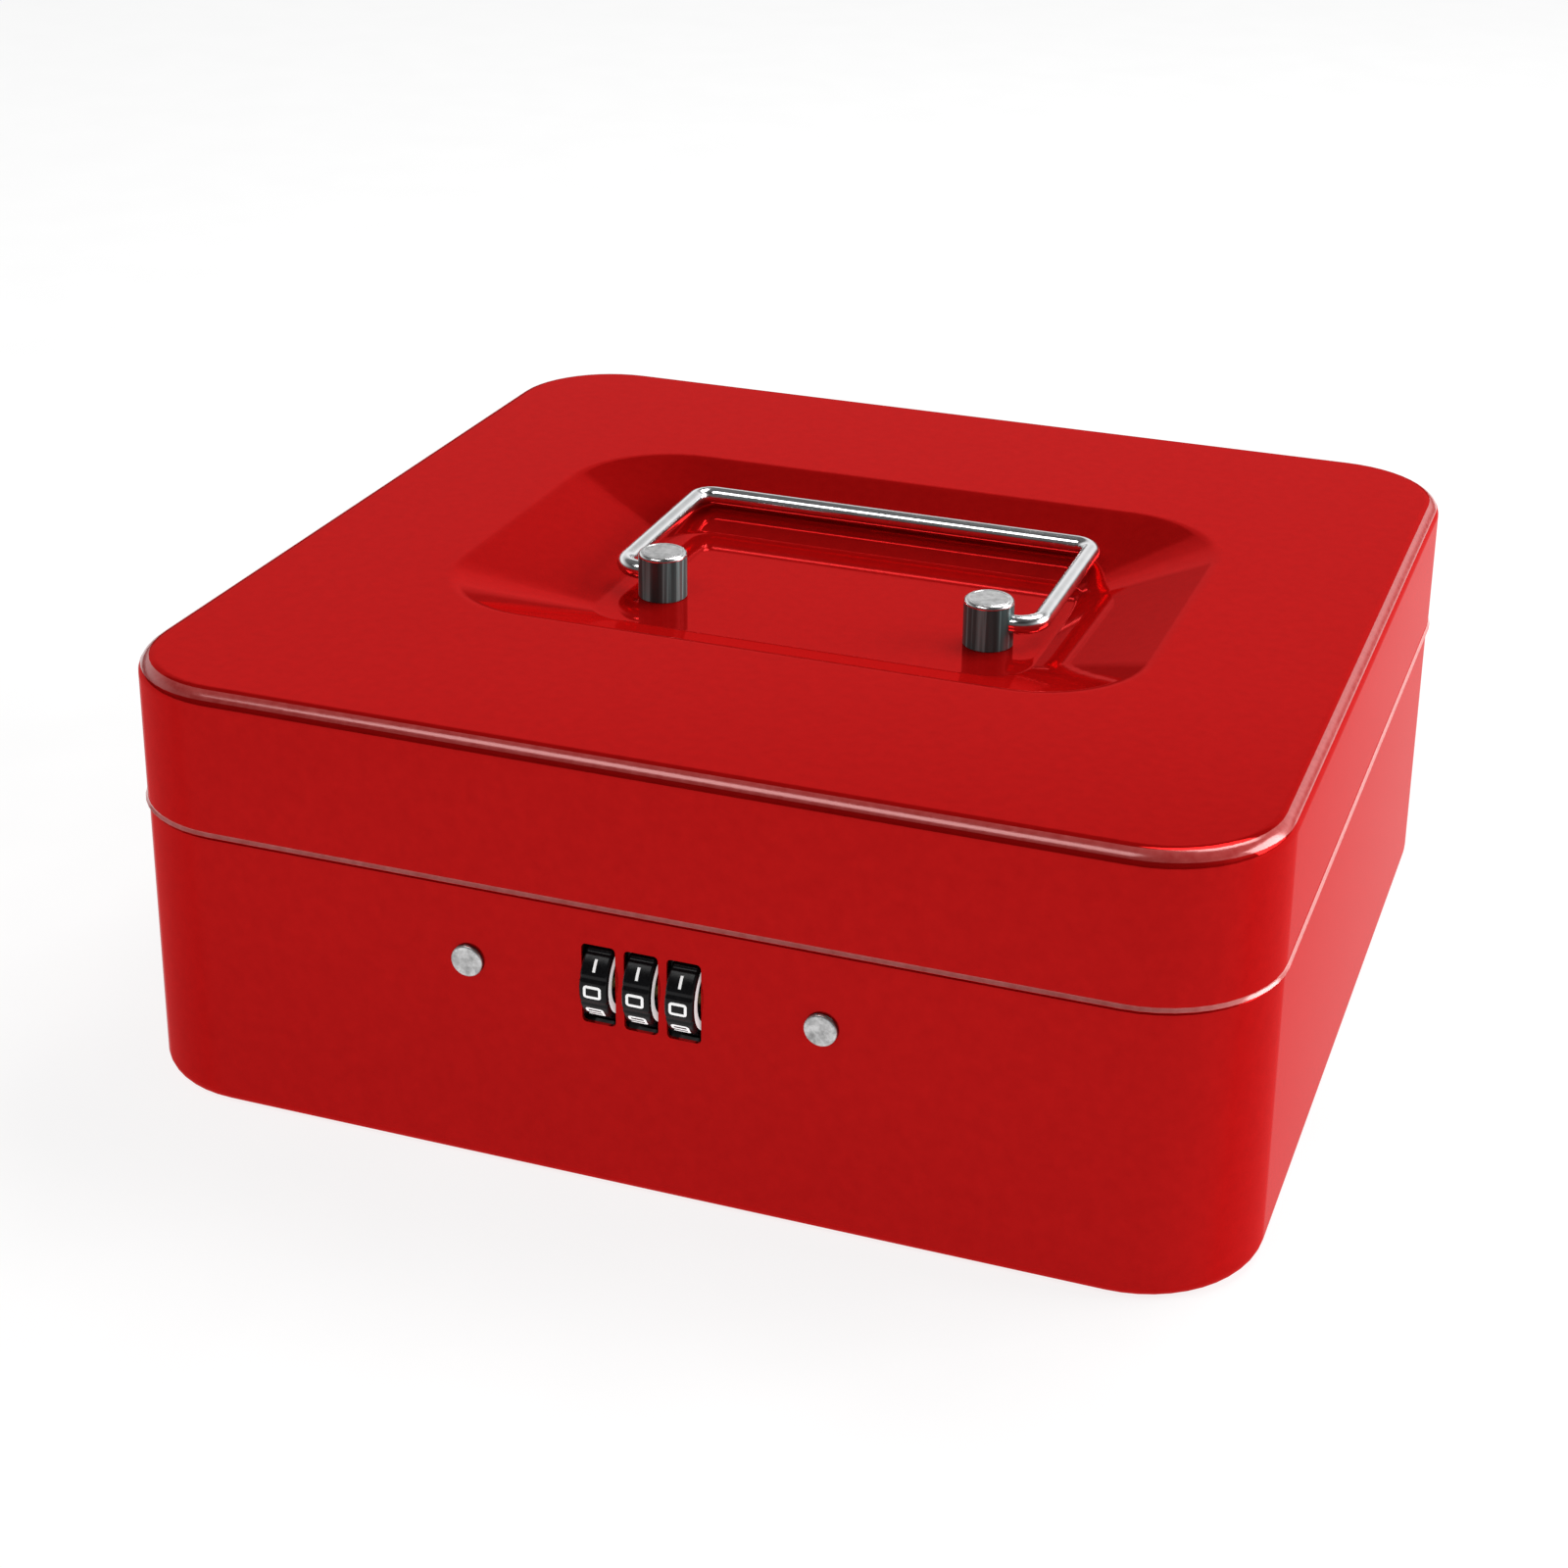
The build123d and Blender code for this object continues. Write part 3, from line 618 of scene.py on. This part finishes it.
def wheel_skin(number, centre):
    """A number wheel with a chamfered rim, ten finger grooves and a glowing pale ring on its right side, a
    painted highlight.
    """
    half = DIAL_W / 2
    bore = 3.1 * MM
    steps = 240
    groove_depth, groove_half = 0.2 * MM, 3.6
    side = [(-half, bore), (-half, DIAL_R - 0.75 * MM), (-half + 0.08 * MM, DIAL_R - 0.45 * MM),
            (-half + 0.35 * MM, DIAL_R - 0.12 * MM), (-half + 0.6 * MM, DIAL_R)]
    stations = side + [(-x, radius) for x, radius in reversed(side[1:])]
    highlight_ring_start = len(stations)
    stations += [(half, DIAL_R - 1.1 * MM), (half + 0.03 * MM, DIAL_R - 1.15 * MM),
                 (half + 0.03 * MM, DIAL_R - 2.55 * MM), (half, DIAL_R - 2.6 * MM), (half, bore)]
    rings = []
    for x, radius in stations:
        ring = []
        for step in range(steps):
            angle = 2 * math.pi * step / steps
            r = radius
            if radius > DIAL_R - 1 * MM:
                off_groove = (math.degrees(angle) + FIGURE_ANGLE / 2) % FIGURE_ANGLE - FIGURE_ANGLE / 2
                r -= groove_depth * max(0.0, 1 - (off_groove / groove_half) ** 2)
            ring.append(centre + Vector((x, r * math.sin(angle), r * math.cos(angle))))
        rings.append(ring)
    points, faces = bridge(rings, False, False)
    last = (len(stations) - 1) * steps
    faces += [(last + i, last + (i + 1) % steps, (i + 1) % steps, i) for i in range(steps)]
    wheel = smooth(make_object(f"wheel_{number}", mesh_from(f"wheel_{number}", points, faces), DIAL), 40)
    wheel.data.materials.append(GLOWING_WHITE)
    # The pale ring on the right side takes the glowing white paint: a painted highlight on the wheel's rim.
    for face in wheel.data.polygons[highlight_ring_start * steps:(highlight_ring_start + 3) * steps]:
        face.material_index = 1
    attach(wheel, f"dial_{number}")
    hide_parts(f"dial_wheel_{number}")


# Squared figures as strokes on a grid two wide and two tall, with a flag for closed strokes
FIGURES = {
    0: [([(-1, -1), (1, -1), (1, 1), (-1, 1)], True)],
    1: [([(0, -1), (0, 1)], False)],
    2: [([(-1, 1), (1, 1), (1, 0), (-1, 0), (-1, -1), (1, -1)], False)],
    3: [([(-1, 1), (1, 1), (1, -1), (-1, -1)], False), ([(-0.6, 0), (1, 0)], False)],
    4: [([(-1, 1), (-1, 0), (1, 0)], False), ([(1, 1), (1, -1)], False)],
    5: [([(1, 1), (-1, 1), (-1, 0), (1, 0), (1, -1), (-1, -1)], False)],
    6: [([(1, 1), (-1, 1), (-1, -1), (1, -1), (1, 0), (-1, 0)], False)],
    7: [([(-1, 1), (1, 1), (0.2, -1)], False)],
    8: [([(-1, -1), (1, -1), (1, 1), (-1, 1)], True), ([(-1, 0), (1, 0)], False)],
    9: [([(1, 0), (-1, 0), (-1, 1), (1, 1), (1, -1), (-1, -1)], False)],
}
FIGURE_HALF_X = 1.53 * MM
FIGURE_HALF_Z = 1.04 * MM
ONE_HALF_Z = 1.25 * MM
STROKE_R = 0.28 * MM
RELIEF = 0.12


def stroke_path(corners, closed):
    """A stroke with softened corners, as points on the grid."""
    if not closed:
        return rounded_path([(a, b, 0.22) for a, b in corners], steps=4)
    start = ((corners[0][0] + corners[1][0]) / 2, (corners[0][1] + corners[1][1]) / 2)
    loop = [(*start, 0)] + [(a, b, 0.3) for a, b in corners[1:] + corners[:1]] + [(*start, 0)]
    return rounded_path(loop, steps=5)[:-1]


def dense(path, closed, gap):
    """The same path with points added so that none are further apart than gap."""
    out = []
    ends = path[1:] + (path[:1] if closed else [])
    for a, b in zip(path, ends):
        parts = max(1, math.ceil((b - a).length / gap))
        out += [a.lerp(b, k / parts) for k in range(parts)]
    return out if closed else out + [path[-1]]


def figures_skin(number, centre):
    """The ten white figures of a wheel, wrapped round its rim. Figure 0 faces the front."""
    curve = bpy.data.curves.new(f"figures_{number}", "CURVE")
    curve.dimensions = "3D"
    curve.bevel_depth = STROKE_R
    curve.bevel_resolution = 3
    curve.use_fill_caps = True
    for figure, strokes in FIGURES.items():
        facing = math.radians(FIGURE_ANGLE * figure)
        half_z = ONE_HALF_Z if figure == 1 else FIGURE_HALF_Z
        for corners, closed in strokes:
            path = dense(stroke_path(corners, closed), closed, 0.25)
            line = curve.splines.new("POLY")
            line.points.add(len(path) - 1)
            line.use_cyclic_u = closed
            for point, (a, b) in zip(line.points, path):
                angle = facing + b * half_z / DIAL_R
                point.co = (centre.x + a * FIGURE_HALF_X, centre.y - DIAL_R * math.cos(angle),
                            centre.z + DIAL_R * math.sin(angle), 1)
    holder = bpy.data.objects.new(f"figures_{number}", curve)
    mesh = bpy.data.meshes.new_from_object(holder)
    bpy.data.objects.remove(holder)
    for vertex in mesh.vertices:
        spoke = Vector((0, vertex.co.y - centre.y, vertex.co.z - centre.z))
        spoke = spoke.normalized() * (DIAL_R + (spoke.length - DIAL_R) * RELIEF)
        vertex.co.y = centre.y + spoke.y
        vertex.co.z = centre.z + spoke.z
    figures = smooth(make_object(f"dial_figures_{number}", mesh, GLOWING_WHITE), 60)
    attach(figures, f"dial_{number}")


def rivet_skin(node, body, heads, outward, sizes):
    """Flat-headed rivets in place of a node: each head outside, the shank, and a closed head inside."""
    low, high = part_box(node)
    depth = high.y - low.y
    front = low.y if outward < 0 else high.y
    radius, shank, inner_radius, proud, tail = sizes
    outline = [(0.05 * MM, 0, 0), (inner_radius, 0, 0.3 * MM), (inner_radius, tail, 0), (shank, tail, 0),
               (shank, depth - proud, 0), (radius - 0.2 * MM, depth - proud, 0),
               (radius, depth - proud + 0.2 * MM, 0), (radius, depth, 0.42 * MM),
               (radius - 0.75 * MM, depth, 0), (radius - 0.9 * MM, depth - 0.05 * MM, 0),
               (0.05 * MM, depth - 0.05 * MM, 0)]
    for number, (x, z) in enumerate(heads, start=1):
        start = (x, front - outward * depth, z)
        rivet = lathe(f"{node}_{number}", rounded_path(outline, steps=5), start, (0, outward, 0), RIVET, 72)
        # The side of each head and the shank take the dark post steel: painted shade, the dark ring round
        # each head.
        rivet.data.materials.append(POST_SIDE)
        for face in rivet.data.polygons:
            if abs(face.center.y - start[1]) < depth - 0.36 * MM:
                face.material_index = 1
        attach(rivet, body)
        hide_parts(node)


# ---------------------------------------------------------------- tray


def soft_ring(low, high, radii, inset, z):
    """A rectangle from low to high, moved inwards by inset, with one corner radius for each corner."""
    corners = [(high[0] - inset, high[1] - inset, 1, 1), (low[0] + inset, high[1] - inset, -1, 1),
               (low[0] + inset, low[1] + inset, -1, -1), (high[0] - inset, low[1] + inset, 1, -1)]
    ring = []
    for quarter, ((x, y, sx, sy), radius) in enumerate(zip(corners, radii)):
        r = max(radius - inset, 0.2 * MM)
        for step in range(9):
            angle = math.radians(90 * quarter + 90 * step / 8)
            ring.append(Vector((x - sx * r + r * math.cos(angle), y - sy * r + r * math.sin(angle), z)))
    return ring


def well_cutter(name, low, high, radii, floor, rim):
    """The hollow of a tray compartment, with a rounded bottom and a softened mouth."""
    rings = []
    for step in range(8):
        angle = math.radians(90 * step / 7)
        inset = WELL_BOTTOM * (1 - math.sin(angle))
        rings.append(soft_ring(low, high, radii, inset, floor + WELL_BOTTOM * (1 - math.cos(angle))))
    for step in range(4):
        angle = math.radians(90 * step / 3)
        flare = MOUTH * (1 - math.cos(angle))
        rings.append(soft_ring(low, high, radii, -flare, rim - MOUTH + MOUTH * math.sin(angle)))
    rings.append(soft_ring(low, high, radii, -MOUTH, rim + 1 * MM))
    return make_object(name, mesh_from(name, *bridge(rings)), TRAY)


def tray_skin():
    """Moulded tray: a flange that hangs on the neck, coin wells in front and a long note well behind."""
    low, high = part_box("coin_tray")
    rim = high.z
    under = rim - FLANGE_T
    wall_x = high.x - TRAY_SIDE_STEP
    front, back = low.y + TRAY_FRONT_STEP, high.y - TRAY_BACK_STEP
    middle = (front + back) / 2
    half = (back - front) / 2
    bottom = [(3 * MM, 0), (1.2 * MM, 0.3 * MM), (0.3 * MM, 1.2 * MM), (0, 3 * MM)]
    body = [((wall_x - a, half - a, TRAY_CORNER - a, middle), low.z + b) for a, b in bottom]
    body.append(((wall_x, half, TRAY_CORNER, middle), under))
    flange = [(0.25 * MM, under), (0, under + 0.25 * MM), (0, rim - 0.4 * MM),
              (0.12 * MM, rim - 0.12 * MM), (0.4 * MM, rim)]
    body += [((high.x - a, high.y - a, FLANGE_R - a, 0), b) for a, b in flange]
    points, faces = bridge([rounded_ring(*r) for r in body])
    tray = make_object("tray_moulding", mesh_from("tray_moulding", points, faces), TRAY)
    notch_low = (-NOTCH_HALF_X, low.y - 1 * MM, under - 1 * MM)
    cutters = [box_cutter("notch", notch_low, (NOTCH_HALF_X, front, rim + 1 * MM))]
    inside = wall_x - TRAY_WALL
    span = (2 * inside + TRAY_WALL) / COIN_WELLS
    floor = low.z + TRAY_WALL
    outer, inner = WELL_OUTER_R, WELL_INNER_R
    for number in range(COIN_WELLS):
        x0 = -inside + number * span
        radii = [inner, inner, outer if number == 0 else inner, outer if number == COIN_WELLS - 1 else inner]
        near, far = (x0, front + TRAY_WALL), (x0 + span - TRAY_WALL, 0)
        cutters.append(well_cutter(f"well_{number}", near, far, radii, floor, rim))
    near, far = (-inside, TRAY_WALL), (inside, back - TRAY_WALL)
    cutters.append(well_cutter("note_well", near, far, [outer, outer, inner, inner], floor, rim))
    carve(tray, cutters)
    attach(smooth(tray, 40), "tray")
    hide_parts("coin_tray")


# ---------------------------------------------------------------- materials of the nodes kept from the CAD


SOFT_EDGED = ("lock_back_plate", "lid_catch", "hinge_base_leaf_left", "hinge_base_leaf_right",
              "hinge_lid_leaf_left", "hinge_lid_leaf_right", "lock_housing", "reset_lever")


def dress_nodes():
    """Materials on the nodes that keep their CAD shape, and softened edges on the plain pressed ones."""
    kept = {
        ZINC: ["post_screws", "post_washers", "back_plate_screws", "lock_back_plate", "lid_catch",
               "dial_axle", "hinge_base_leaf_left", "hinge_base_leaf_right", "hinge_lid_leaf_left",
               "hinge_lid_leaf_right", "hinge_pin_left", "hinge_pin_right"],
        SPRING: ["sleeve_spring", "detent_spring"],
        CASE: ["lock_housing", "reset_lever"],
        BRASS: ["code_sleeve_1", "code_sleeve_2", "code_sleeve_3"],
    }
    for material, nodes in kept.items():
        for node in nodes:
            mesh = frame["nodes"][node].data
            mesh.materials.clear()
            mesh.materials.append(material)
            if node in SOFT_EDGED:
                edge = frame["nodes"][node].modifiers.new("edges", "BEVEL")
                edge.width = 0.15 * MM
                edge.segments = 2
                edge.limit_method = "ANGLE"
                edge.angle_limit = math.radians(50)


# ---------------------------------------------------------------- studio


LIGHT_TARGET = Vector((0, 0, 0.05))


def area_light(name, place, size, power):
    """A white softbox that points at the box."""
    data = bpy.data.lights.new(name, "AREA")
    data.shape = "RECTANGLE"
    data.size, data.size_y = size
    data.energy = power
    lamp = bpy.data.objects.new(name, data)
    lamp.location = place
    lamp.rotation_mode = "QUATERNION"
    lamp.rotation_quaternion = (LIGHT_TARGET - Vector(place)).to_track_quat("-Z", "Y")
    bpy.context.scene.collection.objects.link(lamp)


# Brightness of the studio by height, from level with the box (0) to straight above it (1)
SKY_LEVELS = [(0.0, 0.1), (0.12, 0.15), (0.24, 0.9), (0.4, 0.9),
              (0.46, 0.65), (0.56, 0.5), (0.6, 0.12), (0.9, 0.12)]


def sky():
    """A studio with a bright band partway up, which is dimmer towards the front, and dark above."""
    world = bpy.data.worlds.new("studio")
    world.use_nodes = True
    tree = world.node_tree
    place = tree.nodes.new("ShaderNodeTexCoord")
    split = tree.nodes.new("ShaderNodeSeparateXYZ")
    tree.links.new(place.outputs["Generated"], split.inputs["Vector"])
    height = tree.nodes.new("ShaderNodeValToRGB")
    set_stops(height, [(position, grey(value)) for position, value in SKY_LEVELS])
    tree.links.new(split.outputs["Z"], height.inputs["Fac"])
    reach = tree.nodes.new("ShaderNodeMapRange")
    limits = {"From Min": -0.6, "From Max": 0.2, "To Min": 0.12, "To Max": 1.0}
    for label, value in limits.items():
        reach.inputs[label].default_value = value
    tree.links.new(split.outputs["Y"], reach.inputs["Value"])
    back = tree.nodes["Background"]
    tree.links.new(height.outputs["Color"], back.inputs["Color"])
    tree.links.new(reach.outputs["Result"], back.inputs["Strength"])
    bpy.context.scene.world = world


def studio():
    """The sky, a pale floor and three softboxes."""
    sky()
    ring = rounded_ring((4.0, 4.0, 0.4, 0), 0, arc_steps=6)
    points, faces = bridge([ring, [p - Vector((0, 0, 0.01)) for p in ring]])
    floor = make_object("floor", mesh_from("floor", points, faces), floor_paper())
    area_light("right_box", (1.2, 0.4, 0.5), (0.8, 0.8), 15)
    area_light("front_box", (-0.35, -0.65, 1.15), (0.7, 0.4), 3.8)
    area_light("back_box", (0.3, 0.55, 1.2), (0.7, 0.6), 9)


def camera():
    """The photograph's viewing angle."""
    azimuth, elevation, roll = map(math.radians, (19.341, 21.007, 0.854))
    distance, across, up = 618.18 * MM, -3.356 * MM, 44.917 * MM
    sensor, focal, shift_x, shift_y = 36, 64.98, -0.0229, -0.15
    back = Vector((math.sin(azimuth) * math.cos(elevation), -math.cos(azimuth) * math.cos(elevation),
                   math.sin(elevation)))
    right = Vector((math.cos(azimuth), math.sin(azimuth), 0))
    above = back.cross(right)
    right, above = (right * math.cos(roll) + above * math.sin(roll),
                    above * math.cos(roll) - right * math.sin(roll))
    data = bpy.data.cameras.new("camera")
    data.sensor_width = sensor
    data.lens = focal
    data.shift_x = shift_x
    data.shift_y = shift_y
    data.clip_start = 0.01
    lens = bpy.data.objects.new("camera", data)
    place = Vector((0, 0, TOP / 2)) + back * distance + right * across + above * up
    lens.matrix_world = Matrix.Translation(place) @ Matrix((right, above, back)).transposed().to_4x4()
    bpy.context.scene.collection.objects.link(lens)
    bpy.context.scene.camera = lens


camera()
studio()
dress_nodes()
lid_skin()
base_skin()
tray_skin()
wire_skin()
post_skin("left")
post_skin("right")
lock_rivet_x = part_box("lock_rivets")[1].x - LOCK_RIVET[0]
rivet_skin("lock_rivets", "base", [(-lock_rivet_x, DIAL_Z), (lock_rivet_x, DIAL_Z)], -1, LOCK_RIVET)
hinge_x = [side * HINGE_X + step * HINGE_RIVET_STEP for side in (-1, 1) for step in (-1, 1)]
for node, body in (("hinge_base_rivets", "base"), ("hinge_lid_rivets", "lid")):
    low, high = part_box(node)
    heads = [(x, (low.z + high.z) / 2) for x in hinge_x]
    rivet_skin(node, body, heads, 1, HINGE_RIVET)
for number, name in enumerate(DIAL_JOINTS, start=1):
    axle = Vector(pivots[name]["pos_m"])
    wheel_skin(number, axle)
    figures_skin(number, axle)
bpy.context.scene.view_settings.view_transform = "Standard"
